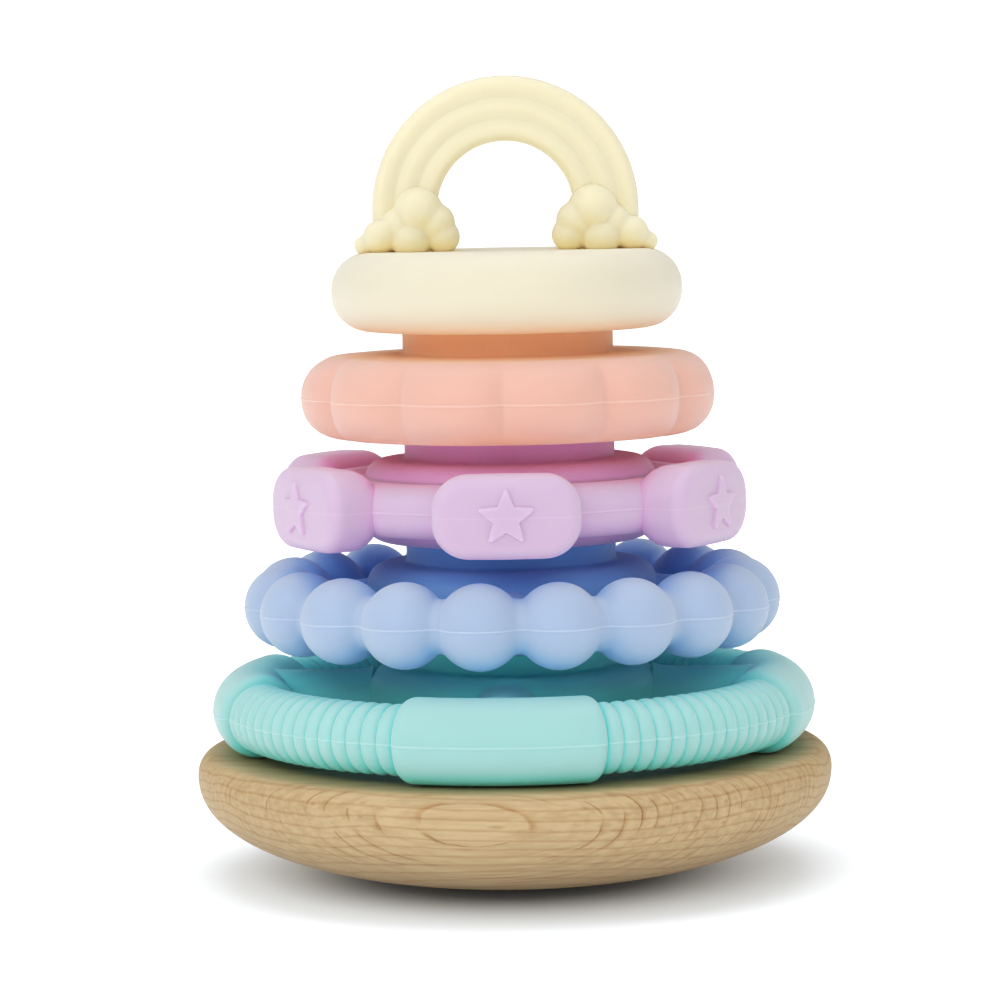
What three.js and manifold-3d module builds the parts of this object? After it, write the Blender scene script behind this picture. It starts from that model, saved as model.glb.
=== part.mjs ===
// A stacking ring toy: a wooden rocking base with a locating disc, four soft rings that sit on each
// other's collars, and a topper disc with a rainbow arch for a handle.
// Millimetres, +Z up. The origin is the middle of the small flat under the base.
import * as THREE from "three";
import { mergeVertices } from "three/addons/utils/BufferGeometryUtils.js";
import { RoundedBoxGeometry } from "three/addons/geometries/RoundedBoxGeometry.js";
import Module from "manifold-3d";

const wasm = await Module();
wasm.setup();

// ---- Driving dimensions -------------------------------------------------------------------------

// Fits. Faces that rest on each other, and a collar in its socket, keep a small gap.
const REST_GAP = 0.3;
const SOCKET_CLEARANCE = 0.35;

// Wooden base: a shallow bowl shape that rocks, cut flat on top, with a small flat to stand on.
const BASE_RADIUS = 67.5;
const BASE_WIDEST_Z = 22.6;
const BASE_RIM_ROUND = 4.5;
const BASE_TOP_Z = BASE_WIDEST_Z + BASE_RIM_ROUND;
const BASE_FOOT_RADIUS = 7;
const BASE_FULLNESS = 2.25;

// Locating disc: let into the top of the base, it holds the bottom ring in place.
const DISC_RECESS_DEPTH = 5;
const DISC_EDGE_ROUND = 1.2;

// Heights of the middles of the rings and of the topper disc: the first, and the step between them.
const CUFF_RADIUS = 8.75;
const FIRST_MIDDLE = BASE_TOP_Z + REST_GAP + CUFF_RADIUS;
const RING_STEP = 22.05;
const middleOf = (place) => FIRST_MIDDLE + place * RING_STEP;

// Collars and sockets, the same on every ring so that the rings fit in any order.
const COLLAR_RADIUS = 22.3;
const BORE_RADIUS = 17;
const SOCKET_DEPTH = 9;
const COLLAR_ROUND = 1;

// Hubs.
const HUB_RADIUS = 30.8;
const HUB_HEIGHT = 17.2;
const HUB_ROUND = 4.5;

// Ribbed ring: smooth cuffs joined by ribbed quarters, held to the hub by round spokes.
const RIBBED = {
  middle: middleOf(0),
  centreRadius: 55.3,
  cuffRadius: CUFF_RADIUS,
  cuffHalfAngle: 20.3,
  cuffEndAngle: 3,
  cuffs: 4,
  ribsPerQuarter: 15,
  ribRadius: 7.25,
  grooveRadius: 6.6,
  spokeRadius: 7.6,
  turn: -3.15,
};

// Bead ring: round beads that run into each other.
const BEADS = {
  middle: middleOf(1),
  centreRadius: 48.1,
  beadRadius: 8.85,
  neckRadius: 5.56,
  count: 19,
  spokes: 4,
  spokeRadius: 4.8,
  turn: -98,
};

// Star ring: rounded blocks with a raised star, joined by a round rim against the hub.
const STARS = {
  middle: middleOf(2),
  blocks: 6,
  blockOuterRadius: 51.2,
  blockWidth: 29,
  blockDepth: 12.5,
  blockHeight: 17,
  blockRound: 5.8,
  rimRadius: 5.45,
  rimCentreRadius: 37.6,
  webHeight: 9,
  starRadius: 6,
  starInnerRadius: 3,
  starHeight: 0.7,
  turn: -91.2,
};

// Scalloped ring: a thick disc whose edge is a row of shallow lobes.
const SCALLOPS = {
  middle: middleOf(3),
  outerRadius: 44.2,
  grooveDepth: 2.2,
  height: 17,
  lobes: 12,
  turn: -2.3,
};

// Topper disc.
const TOPPER = { middle: middleOf(4), radius: 37.1, height: 16.6 };
const TOPPER_TOP = TOPPER.middle + TOPPER.height / 2;

// Rainbow arch: three bands in one arch, with a cloud at each foot on both faces.
const ARCH = {
  centreZ: TOPPER_TOP + 8.5,
  outerRadius: 28.1,
  innerRadius: 14.4,
  bands: 3,
  depth: 11,
  bandRound: 1.4,
  bandOverlap: 0.1,
  stubRadius: 3.2,
  stubDepth: 4,
};
// Cloud puffs of the left foot: x, height of the middle above the topper disc, and radius.
const PUFFS = [
  { x: -18.4, up: 8.4, radius: 5.2 },
  { x: -15.0, up: 5.9, radius: 4.2 },
  { x: -13.3, up: 2.9, radius: 3.6 },
  { x: -26.4, up: 3.2, radius: 3.7 },
  { x: -22.6, up: 5.5, radius: 3.9 },
  { x: -29.9, up: 1.5, radius: 2.1 },
  { x: -20.0, up: 2.5, radius: 4.2 },
];
const PUFF_SINK = 1.0;

// Facets.
const TURNED_FACETS = 32;
const BASE_FACETS = 40;
const TUBE_FACETS = 8;
const ROUND_STEPS = 2;
const ARCH_STEPS = 12;
const PUFF_FACETS = 8;

// Colours.
const BEECH = { color: 0xd9b48a, roughness: 0.62, metalness: 0 };
const AQUA = { color: 0x9fdcd0, roughness: 0.5, metalness: 0 };
const PERIWINKLE = { color: 0xa9b9ee, roughness: 0.5, metalness: 0 };
const LILAC = { color: 0xd5b5ea, roughness: 0.5, metalness: 0 };
const PEACH = { color: 0xf6bfa8, roughness: 0.5, metalness: 0 };
const CREAM = { color: 0xf8eed2, roughness: 0.5, metalness: 0 };

// ---- Solids -------------------------------------------------------------------------------------

const radians = THREE.MathUtils.degToRad;

// A closed three.js geometry as a solid that can be joined and cut.
function solidOf(geometry) {
  const bare = geometry.index ? geometry.toNonIndexed() : geometry.clone();
  bare.deleteAttribute("normal");
  bare.deleteAttribute("uv");
  const merged = mergeVertices(bare, 1e-4);
  return new wasm.Manifold(
    new wasm.Mesh({
      numProp: 3,
      vertProperties: merged.attributes.position.array,
      triVerts: new Uint32Array(merged.index.array),
    }),
  );
}

function geometryOf(solid) {
  const mesh = solid.getMesh();
  const geometry = new THREE.BufferGeometry();
  geometry.setAttribute("position", new THREE.BufferAttribute(mesh.vertProperties, 3));
  geometry.setIndex(new THREE.BufferAttribute(mesh.triVerts, 1));
  const faceted = geometry.toNonIndexed();
  faceted.computeVertexNormals();
  return faceted;
}

function join(solids) {
  return solids.reduce((whole, solid) => whole.add(solid));
}

// Points of an arc in a turned profile, x as the distance from the axis and y as the height.
function arc(x, y, radius, fromDegrees, toDegrees, steps = ROUND_STEPS) {
  return Array.from({ length: steps + 1 }, (_, i) => {
    const angle = radians(fromDegrees + ((toDegrees - fromDegrees) * i) / steps);
    return new THREE.Vector2(x + radius * Math.cos(angle), y + radius * Math.sin(angle));
  });
}

// A solid turned about Z. The profile runs counterclockwise, so that its faces point out.
function turned(profile, facets = TURNED_FACETS) {
  const geometry = new THREE.LatheGeometry(profile, facets);
  geometry.rotateX(Math.PI / 2);
  return solidOf(geometry);
}

// A closed ring about Z whose round section changes with the angle. section(angle) gives the
// distance from the axis to the section's middle, its radius and its half height.
function sweptRing(section, angles, middle) {
  const positions = [];
  for (const angle of angles) {
    const { centre, radius, halfHeight = radius } = section(angle);
    for (let j = 0; j < TUBE_FACETS; j++) {
      const around = (2 * Math.PI * j) / TUBE_FACETS;
      const out = centre + radius * Math.cos(around);
      positions.push(out * Math.cos(angle), out * Math.sin(angle));
      positions.push(middle + halfHeight * Math.sin(around));
    }
  }
  const indices = [];
  angles.forEach((_, i) => {
    const next = (i + 1) % angles.length;
    for (let j = 0; j < TUBE_FACETS; j++) {
      const k = (j + 1) % TUBE_FACETS;
      const a = i * TUBE_FACETS + j;
      const b = next * TUBE_FACETS + j;
      const c = next * TUBE_FACETS + k;
      const d = i * TUBE_FACETS + k;
      indices.push(a, b, c, a, c, d);
    }
  });
  const geometry = new THREE.BufferGeometry();
  geometry.setAttribute("position", new THREE.Float32BufferAttribute(positions, 3));
  geometry.setIndex(indices);
  return solidOf(geometry);
}

// A round bar lying along a radius, from one distance from the axis to another.
function radialBar(radius, from, to, middle, angle) {
  const geometry = new THREE.CylinderGeometry(radius, radius, to - from, TUBE_FACETS);
  geometry.rotateZ(-Math.PI / 2);
  geometry.translate((from + to) / 2, 0, middle);
  geometry.rotateZ(angle);
  return solidOf(geometry);
}

// A ring's hub: its socket below, its collar above, and the bore through both. The collar's top
// rests under the ceiling of the next piece's socket.
function hub(middle, nextUnderside, radius = HUB_RADIUS, round = HUB_ROUND) {
  const bottom = middle - HUB_HEIGHT / 2;
  const top = middle + HUB_HEIGHT / 2;
  const collarTop = nextUnderside + SOCKET_DEPTH - REST_GAP;
  const socketRadius = COLLAR_RADIUS + SOCKET_CLEARANCE;
  const ceiling = bottom + SOCKET_DEPTH;
  return turned([
    new THREE.Vector2(socketRadius, bottom),
    ...arc(radius - round, bottom + round, round, -90, 0),
    ...arc(radius - round, top - round, round, 0, 90),
    new THREE.Vector2(COLLAR_RADIUS, top),
    ...arc(COLLAR_RADIUS - COLLAR_ROUND, collarTop - COLLAR_ROUND, COLLAR_ROUND, 0, 90, 1),
    new THREE.Vector2(BORE_RADIUS, collarTop),
    new THREE.Vector2(BORE_RADIUS, ceiling),
    new THREE.Vector2(socketRadius, ceiling),
    new THREE.Vector2(socketRadius, bottom),
  ]);
}

const hubBottom = (ring) => ring.middle - HUB_HEIGHT / 2;

// ---- Base ---------------------------------------------------------------------------------------

function woodenBase() {
  // The underside is a superellipse from the edge of the small flat to the widest circle.
  const steps = 9;
  const footShare = BASE_FOOT_RADIUS / BASE_RADIUS;
  const drop = (share) => (1 - share ** BASE_FULLNESS) ** (1 / BASE_FULLNESS);
  const underside = Array.from({ length: steps + 1 }, (_, i) => {
    const angle = (Math.PI / 2) * (i / steps);
    const share = footShare + (1 - footShare) * Math.sin(angle);
    const height = BASE_WIDEST_Z * (1 - drop(share) / drop(footShare));
    return new THREE.Vector2(BASE_RADIUS * share, height);
  });
  const recessRadius = COLLAR_RADIUS + REST_GAP;
  const recessFloor = BASE_TOP_Z - DISC_RECESS_DEPTH;
  return turned(
    [
      new THREE.Vector2(0, 0),
      ...underside,
      ...arc(BASE_RADIUS - BASE_RIM_ROUND, BASE_TOP_Z - BASE_RIM_ROUND, BASE_RIM_ROUND, 0, 90, 3),
      new THREE.Vector2(recessRadius, BASE_TOP_Z),
      new THREE.Vector2(recessRadius, recessFloor),
      new THREE.Vector2(0, recessFloor),
    ],
    BASE_FACETS,
  );
}

function locatingDisc() {
  const floor = BASE_TOP_Z - DISC_RECESS_DEPTH + REST_GAP;
  const top = hubBottom(RIBBED) + SOCKET_DEPTH - REST_GAP;
  const round = DISC_EDGE_ROUND;
  return turned([
    new THREE.Vector2(0, floor),
    new THREE.Vector2(COLLAR_RADIUS, floor),
    ...arc(COLLAR_RADIUS - round, top - round, round, 0, 90, 1),
    new THREE.Vector2(0, top),
  ]);
}

// ---- Rings --------------------------------------------------------------------------------------

function ribbedRing() {
  const r = RIBBED;
  const quarter = 360 / r.cuffs;
  const ribbedSpan = quarter - 2 * r.cuffHalfAngle;
  const ribAngle = ribbedSpan / r.ribsPerQuarter;
  const stations = [];
  for (let cuff = 0; cuff < r.cuffs; cuff++) {
    const start = cuff * quarter - r.cuffHalfAngle;
    const end = cuff * quarter + r.cuffHalfAngle;
    for (let i = 0; i <= 4; i++) {
      const from = start + r.cuffEndAngle;
      const to = end - r.cuffEndAngle;
      stations.push([from + ((to - from) * i) / 4, r.cuffRadius]);
    }
    for (let rib = 0; rib < r.ribsPerQuarter; rib++) {
      stations.push([end + rib * ribAngle, r.grooveRadius]);
      stations.push([end + (rib + 0.5) * ribAngle, r.ribRadius]);
    }
    stations.push([end + ribbedSpan, r.grooveRadius]);
  }
  const radiusAt = new Map(stations.map(([angle, radius]) => [radians(angle + r.turn), radius]));
  const section = (angle) => ({ centre: r.centreRadius, radius: radiusAt.get(angle) });
  const tube = sweptRing(section, [...radiusAt.keys()], r.middle);
  const spokes = Array.from({ length: r.cuffs }, (_, i) =>
    radialBar(r.spokeRadius, HUB_RADIUS - 4, r.centreRadius, r.middle, radians(i * quarter + r.turn)),
  );
  return join([hub(r.middle, hubBottom(BEADS)), tube, ...spokes]);
}

function beadRing() {
  const b = BEADS;
  const stepsPerBead = 5;
  const beadAngle = (2 * Math.PI) / b.count;
  const turn = radians(b.turn);
  const angles = Array.from(
    { length: b.count * stepsPerBead },
    (_, i) => turn + (i * beadAngle) / stepsPerBead,
  );
  const section = (angle) => {
    const beads = (angle - turn) / beadAngle;
    const away = (beads - Math.round(beads)) * beadAngle * b.centreRadius;
    const round = Math.sqrt(Math.max(b.beadRadius ** 2 - away ** 2, 0));
    return { centre: b.centreRadius, radius: Math.max(round, b.neckRadius) };
  };
  const spokes = Array.from({ length: b.spokes }, (_, i) =>
    radialBar(b.spokeRadius, HUB_RADIUS - 4, b.centreRadius, b.middle, (i * 2 * Math.PI) / b.spokes),
  );
  return join([hub(b.middle, hubBottom(STARS)), sweptRing(section, angles, b.middle), ...spokes]);
}

function starOutline(outer, inner) {
  const points = Array.from({ length: 10 }, (_, i) => {
    const angle = Math.PI / 2 + (i * Math.PI) / 5;
    const radius = i % 2 ? inner : outer;
    return new THREE.Vector2(radius * Math.cos(angle), radius * Math.sin(angle));
  });
  return new THREE.Shape(points);
}

// One block with its star, standing on the +X side of the ring.
function starBlock() {
  const s = STARS;
  const block = new RoundedBoxGeometry(s.blockDepth, s.blockWidth, s.blockHeight, 1, s.blockRound);
  block.translate(s.blockOuterRadius - s.starHeight - s.blockDepth / 2, 0, s.middle);
  const sunk = 1.5;
  const star = new THREE.ExtrudeGeometry(starOutline(s.starRadius, s.starInnerRadius), {
    depth: s.starHeight + sunk,
    bevelEnabled: false,
  });
  star.rotateX(Math.PI / 2);
  star.rotateZ(Math.PI / 2);
  star.translate(s.blockOuterRadius - s.starHeight - sunk, 0, s.middle);
  return solidOf(block).add(solidOf(star));
}

function starRing() {
  const s = STARS;
  const rimAngles = Array.from(
    { length: TURNED_FACETS },
    (_, i) => (i * 2 * Math.PI) / TURNED_FACETS,
  );
  const section = () => ({ centre: s.rimCentreRadius, radius: s.rimRadius });
  const block = starBlock();
  const blocks = Array.from({ length: s.blocks }, (_, i) =>
    block.rotate([0, 0, s.turn + (i * 360) / s.blocks]),
  );
  const rim = sweptRing(section, rimAngles, s.middle);
  // A web closes the ring between the hub and the rim.
  const web = turned([
    new THREE.Vector2(HUB_RADIUS - 2, s.middle - s.webHeight / 2),
    new THREE.Vector2(s.rimCentreRadius, s.middle - s.webHeight / 2),
    new THREE.Vector2(s.rimCentreRadius, s.middle + s.webHeight / 2),
    new THREE.Vector2(HUB_RADIUS - 2, s.middle + s.webHeight / 2),
    new THREE.Vector2(HUB_RADIUS - 2, s.middle - s.webHeight / 2),
  ]);
  return join([hub(s.middle, hubBottom(SCALLOPS)), web, rim, ...blocks]);
}

function scallopedRing() {
  const s = SCALLOPS;
  const stepsPerLobe = 4;
  const lobeAngle = (2 * Math.PI) / s.lobes;
  const turn = radians(s.turn);
  const half = s.height / 2;
  const angles = Array.from(
    { length: s.lobes * stepsPerLobe },
    (_, i) => turn + (i * lobeAngle) / stepsPerLobe,
  );
  const section = (angle) => {
    const lobes = (angle - turn) / lobeAngle;
    const fromGroove = Math.abs(lobes - Math.round(lobes)) * 2;
    const groove = s.grooveDepth * (1 - fromGroove) ** 2;
    return { centre: s.outerRadius - half - groove, radius: half };
  };
  const nextUnderside = TOPPER.middle - TOPPER.height / 2;
  const body = hub(s.middle, nextUnderside, s.outerRadius - half - s.grooveDepth, 0.6);
  return join([body, sweptRing(section, angles, s.middle)]);
}

// ---- Topper -------------------------------------------------------------------------------------

// The arch's feet, left and right, where its stubs go down into the topper disc.
function stubs(radius, depth) {
  const footX = (ARCH.outerRadius + ARCH.innerRadius) / 2;
  return [-footX, footX].map((x) => {
    const length = depth + 2;
    const geometry = new THREE.CylinderGeometry(radius, radius, length, 16);
    geometry.rotateX(Math.PI / 2);
    geometry.translate(x, 0, TOPPER_TOP + 2 - length / 2);
    return solidOf(geometry);
  });
}

function topperDisc() {
  const half = TOPPER.height / 2;
  const bottom = TOPPER.middle - half;
  const ceiling = bottom + SOCKET_DEPTH;
  const socketRadius = COLLAR_RADIUS + SOCKET_CLEARANCE;
  const disc = turned([
    new THREE.Vector2(0, ceiling),
    new THREE.Vector2(socketRadius, ceiling),
    new THREE.Vector2(socketRadius, bottom),
    ...arc(TOPPER.radius - half, TOPPER.middle, half, -90, 90, 6),
    new THREE.Vector2(0, TOPPER_TOP),
  ]);
  return stubs(ARCH.stubRadius + REST_GAP, ARCH.stubDepth + REST_GAP).reduce(
    (rest, pocket) => rest.subtract(pocket),
    disc,
  );
}

// One band of the rainbow: an arch outline with straight legs, extruded through the arch's depth
// with its edges rounded over.
function band(inner, outer, foot) {
  const round = ARCH.bandRound;
  const a = inner + round;
  const b = outer - round;
  const outline = new THREE.Shape();
  outline.moveTo(b, foot + round);
  outline.lineTo(b, 0);
  outline.absarc(0, 0, b, 0, Math.PI, false);
  outline.lineTo(-b, foot + round);
  outline.lineTo(-a, foot + round);
  outline.lineTo(-a, 0);
  outline.absarc(0, 0, a, Math.PI, 0, true);
  outline.lineTo(a, foot + round);
  const geometry = new THREE.ExtrudeGeometry(outline, {
    depth: ARCH.depth - 2 * round,
    bevelThickness: round,
    bevelSize: round,
    bevelSegments: 1,
    curveSegments: ARCH_STEPS,
  });
  geometry.translate(0, 0, -ARCH.depth / 2 + round);
  geometry.rotateX(Math.PI / 2);
  geometry.translate(0, 0, ARCH.centreZ);
  return solidOf(geometry);
}

function rainbowArch() {
  const width = (ARCH.outerRadius - ARCH.innerRadius) / ARCH.bands;
  const footZ = TOPPER_TOP + REST_GAP;
  const bands = Array.from({ length: ARCH.bands }, (_, i) => {
    const inner = ARCH.innerRadius + i * width;
    const overlap = i < ARCH.bands - 1 ? ARCH.bandOverlap : 0;
    return band(inner, inner + width + overlap, footZ - ARCH.centreZ);
  });
  const puffs = [-1, 1].flatMap((side) =>
    [-1, 1].flatMap((face) =>
      PUFFS.map((puff) => {
        const geometry = new THREE.SphereGeometry(puff.radius, PUFF_FACETS, PUFF_FACETS / 2);
        const y = face * (ARCH.depth / 2 - PUFF_SINK);
        return solidOf(geometry.translate(-side * puff.x, y, TOPPER_TOP + puff.up));
      }),
    ),
  );
  const whole = join([...bands, ...puffs]);
  // Nothing of the arch reaches below its feet, apart from the two stubs.
  const below = new THREE.BoxGeometry(200, 200, 50);
  below.translate(0, 0, footZ - 25);
  return join([whole.subtract(solidOf(below)), ...stubs(ARCH.stubRadius, ARCH.stubDepth)]);
}

// ---- The toy ------------------------------------------------------------------------------------

function piece(name, solid, finish) {
  const mesh = new THREE.Mesh(geometryOf(solid), new THREE.MeshStandardMaterial(finish));
  mesh.name = name;
  return mesh;
}

const toy = new THREE.Group();
toy.add(
  piece("wooden_base", woodenBase(), BEECH),
  piece("locating_disc", locatingDisc(), BEECH),
  piece("ribbed_ring", ribbedRing(), AQUA),
  piece("bead_ring", beadRing(), PERIWINKLE),
  piece("star_ring", starRing(), LILAC),
  piece("scalloped_ring", scallopedRing(), PEACH),
  piece("topper_disc", topperDisc(), CREAM),
  piece("rainbow_arch", rainbowArch(), CREAM),
);

export default toy;
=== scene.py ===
"""Looks of the stacking ring toy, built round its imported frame.

Shapes are worked out in millimetres and stored in metres. Each ring is turned or swept as one fine
surface, joined to its hub, and rides on its own body.
"""
import math

import bmesh
import bpy
import numpy as np
from mathutils import Euler, Matrix, Vector


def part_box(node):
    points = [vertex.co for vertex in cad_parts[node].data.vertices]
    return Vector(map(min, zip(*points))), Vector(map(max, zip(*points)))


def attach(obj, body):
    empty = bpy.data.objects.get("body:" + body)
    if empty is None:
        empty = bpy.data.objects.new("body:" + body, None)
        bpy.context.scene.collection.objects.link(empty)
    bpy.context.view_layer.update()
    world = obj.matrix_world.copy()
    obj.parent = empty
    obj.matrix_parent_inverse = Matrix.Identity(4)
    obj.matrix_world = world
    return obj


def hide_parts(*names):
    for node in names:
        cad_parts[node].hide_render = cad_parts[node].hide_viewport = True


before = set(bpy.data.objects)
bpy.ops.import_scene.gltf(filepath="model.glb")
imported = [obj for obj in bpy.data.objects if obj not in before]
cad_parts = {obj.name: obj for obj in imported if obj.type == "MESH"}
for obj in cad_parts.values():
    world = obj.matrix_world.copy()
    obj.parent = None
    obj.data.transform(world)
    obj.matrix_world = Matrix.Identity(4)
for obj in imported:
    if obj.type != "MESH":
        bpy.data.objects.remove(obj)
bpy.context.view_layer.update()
MM = 0.001

# ---- Sizes, in millimetres ------------------------------------------------------------------------

COLLAR_RADIUS = 22.3
SOCKET_RADIUS = 22.65
BORE_RADIUS = 17.0
SOCKET_DEPTH = 9.0
REST_GAP = 0.3
HUB_RADIUS = 30.8
HUB_HALF = 8.6

CUFF_RADIUS = 8.75
CUFF_HALF_ANGLE = 20.3
CUFF_END_ROUND = 2.6
RIBBED_CENTRE = 55.3
RIBS_PER_QUARTER = 15
RIB_RADIUS = 7.25
RIB_FULLNESS = 0.7
GROOVE_RADIUS = 6.4
RIBBED_TURN = -3.15
RIBBED_SPOKE = 7.5

BEAD_RADIUS = 8.85
BEAD_CENTRE = 48.1
BEAD_NECK = 5.56
BEAD_NECK_SHARPNESS = 26
BEAD_COUNT = 19
BEAD_TURN = -98.0
BEAD_SPOKE = 4.8

BLOCK_COUNT = 6
BLOCK_OUTER = 50.4
BLOCK_SIZE = (12.3, 30.0, 17.0)
BLOCK_ROUND = 7.2
BLOCK_EDGE = 2.8
BLOCK_BACK_EDGE = 5.4
BLOCK_BEND = 0.9
BLOCK_TAPER = 0.03
BLOCK_CROWN = 0.35
BLOCK_TURN = -91.2
RIM_RADIUS = 5.45
RIM_CENTRE = 37.6
WEB_HALF = 4.5
STAR_RADIUS = 6.35
STAR_WAIST = 2.8
STAR_TIP_ROUND = 0.4
STAR_WAIST_ROUND = 0.28
# How far the star's edge stands out, at each share of its height; below 0 it is inside the block.
STAR_SLOPE = [
    (0.2, -1.5), (0.2, 0.0), (0.12, 0.15), (0.03, 0.5), (-0.05, 0.85), (-0.16, 0.97), (-0.3, 1.0),
]
STAR_HEIGHT = 0.85

SCALLOP_RADIUS = 44.2
SCALLOP_DEPTH = 2.9
SCALLOP_SHARPNESS = 2.8
SCALLOP_START = 34.0
SCALLOP_HALF = 8.5
SCALLOP_COUNT = 12
SCALLOP_TURN = -2.3

TOPPER_RADIUS = 37.1
TOPPER_HALF = 8.3

ARCH_OUTER = 28.1
ARCH_INNER = 14.4
ARCH_DEPTH = 11.0
ARCH_BANDS = 3
BAND_DEPTH = 0.6
ARCH_EDGE_ROUND = 0.9

BASE_RADIUS = 67.5
BASE_FULLNESS = 2.25
BASE_FOOT = 7.0
BASE_WIDEST = 22.6
BASE_RIM_ROUND = 3.6
RECESS_RADIUS = 22.6
RECESS_DEPTH = 5.0

SEAM_HEIGHT = 0.15
SEAM_WIDTH = 0.17
SEAM_OFFSETS = np.array([-3, -2, -1.2, -0.6, 0, 0.6, 1.2, 2, 3]) * SEAM_WIDTH

TURNED_STEPS = 240
SPOKE_COUNT = 4
SPOKE_FLARE = 0.8
SPOKE_SINK = 1.0
WELD = 0.002


def lowest(node):
    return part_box(node)[0].z / MM


def highest(node):
    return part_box(node)[1].z / MM


RIBBED_Z = lowest("ribbed_ring") + CUFF_RADIUS
BEAD_Z = lowest("bead_ring") + BEAD_RADIUS
STAR_Z = lowest("star_ring") + HUB_HALF
SCALLOP_Z = lowest("scalloped_ring") + HUB_HALF
TOPPER_Z = lowest("topper_disc") + TOPPER_HALF
TOPPER_TOP = highest("topper_disc")
ARCH_Z = highest("rainbow_arch") - ARCH_OUTER
BASE_TOP = highest("wooden_base")

# ---- Mesh tools -----------------------------------------------------------------------------------


def mesh_object(name, points, faces):
    """An object from points in millimetres, shaded smooth, with its faces pointing out."""
    mesh = bpy.data.meshes.new(name)
    mesh.from_pydata((np.asarray(points, float) * MM).tolist(), [], faces)
    shape = bmesh.new()
    shape.from_mesh(mesh)
    bmesh.ops.remove_doubles(shape, verts=shape.verts, dist=1e-7)
    bmesh.ops.recalc_face_normals(shape, faces=shape.faces)
    shape.to_mesh(mesh)
    shape.free()
    mesh.shade_smooth()
    obj = bpy.data.objects.new(name, mesh)
    bpy.context.scene.collection.objects.link(obj)
    return obj


def grid_object(name, rows, close_columns=True, close_rows=True):
    """A surface through a grid of points: rows is an array of rows x columns x 3."""
    count, width = rows.shape[:2]
    faces = []
    for i in range(count if close_rows else count - 1):
        j = np.arange(width if close_columns else width - 1)
        k = (j + 1) % width
        a, b = i * width, ((i + 1) % count) * width
        faces += np.stack([a + j, b + j, b + k, a + k], 1).tolist()
    if not close_rows:
        faces += [list(range(width)), list(range((count - 1) * width, count * width))]
    return mesh_object(name, rows.reshape(-1, 3), faces)


def outline(corners, spacing=1.2):
    """A turned profile from corners (distance from the axis, height, radius of its rounding)."""
    corners = np.array(corners, float)
    count = len(corners)
    ends = []
    for i in range(count):
        here, radius = corners[i, :2], corners[i, 2]
        before, after = corners[i - 1, :2] - here, corners[(i + 1) % count, :2] - here
        if radius == 0:
            ends.append([here])
            continue
        before, after = before / np.linalg.norm(before), after / np.linalg.norm(after)
        half = math.acos(float(np.clip(before @ after, -1, 1))) / 2
        middle = (before + after) / np.linalg.norm(before + after)
        centre = here + middle * radius / math.sin(half)
        start = here + before * radius / math.tan(half) - centre
        end = here + after * radius / math.tan(half) - centre
        swing = math.pi - 2 * half
        steps = max(6, int(radius * swing / 0.5))
        share = np.linspace(0, 1, steps + 1)[:, None]
        blend = np.sin((1 - share) * swing) * start + np.sin(share * swing) * end
        ends.append(list(centre + blend / math.sin(swing)))
    points = []
    for i in range(count):
        points += ends[i]
        start, end = ends[i][-1], ends[(i + 1) % count][0]
        steps = int(np.linalg.norm(end - start) / spacing)
        points += [start + (end - start) * k / (steps + 1) for k in range(1, steps + 1)]
    return np.array(points)


def with_seam(profile, height, radius):
    """Adds the fine raised mould line where the profile's outside, going up, passes this height."""
    outside = profile[:, 0] > radius - 1
    crowded = outside & (np.abs(profile[:, 1] - height) < 3.5 * SEAM_WIDTH)
    profile, outside = profile[~crowded], outside[~crowded]
    following = np.roll(profile[:, 1], -1)
    place = int(np.argmax(outside & (profile[:, 1] < height) & (following >= height)))
    rise = SEAM_HEIGHT * np.exp(-((SEAM_OFFSETS / SEAM_WIDTH) ** 2))
    ridge = np.stack([radius + rise, height + SEAM_OFFSETS], 1)
    return np.insert(profile, place + 1, ridge, axis=0)


def turned_rows(profile, angles, spread=None):
    """The profile turned about Z. spread(points, angle) may push its points out or in."""
    rows = []
    for angle in angles:
        points = profile if spread is None else spread(profile, angle)
        out, up = points[:, 0], points[:, 1]
        rows.append(np.stack([out * math.cos(angle), out * math.sin(angle), up], 1))
    return np.array(rows)


def turned(name, profile, steps=TURNED_STEPS, on_axis=False, spread=None):
    angles = np.arange(steps) * 2 * math.pi / steps
    return grid_object(name, turned_rows(profile, angles, spread), close_columns=not on_axis)


def section_angles(count=64, tube_radius=8, clear=0.09):
    """Angles round a tube's section, closer together at the outer mould line."""
    near = SEAM_OFFSETS / tube_radius
    rest = np.linspace(0, 2 * math.pi, count + 1)[1:-1]
    return np.concatenate([near, rest[(rest > clear) & (rest < 2 * math.pi - clear)]])


def swept_ring(name, angles, centres, radii, middle):
    """A round tube about Z: the distance of its middle from the axis and its radius at each angle."""
    around = section_angles()
    signed = (around + math.pi) % (2 * math.pi) - math.pi
    rows = []
    for angle, centre, radius in zip(angles, centres, radii):
        seam = SEAM_HEIGHT * np.exp(-((signed * radius / SEAM_WIDTH) ** 2))
        out = centre + (radius + seam) * np.cos(around)
        up = middle + (radius + seam) * np.sin(around)
        rows.append(np.stack([out * math.cos(angle), out * math.sin(angle), up], 1))
    return grid_object(name, np.array(rows))


def flared_bar(name, radius, start, end, flare, middle, angle, steps=40):
    """A round bar along a radius of the ring, wider at both ends like a moulded fillet."""
    around = np.linspace(0, 2 * math.pi, 48, endpoint=False)
    rows = []
    for out in np.linspace(start, end, steps):
        wide = radius + flare * (math.exp(-(out - start) / 1.6) + math.exp(-(end - out) / 1.6))
        y, z = wide * np.cos(around), middle + wide * np.sin(around)
        rows.append(np.stack([np.full_like(y, out), y, z], 1))
    bar = grid_object(name, np.array(rows), close_rows=False)
    bar.data.transform(Matrix.Rotation(angle, 4, "Z"))
    return bar


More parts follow.
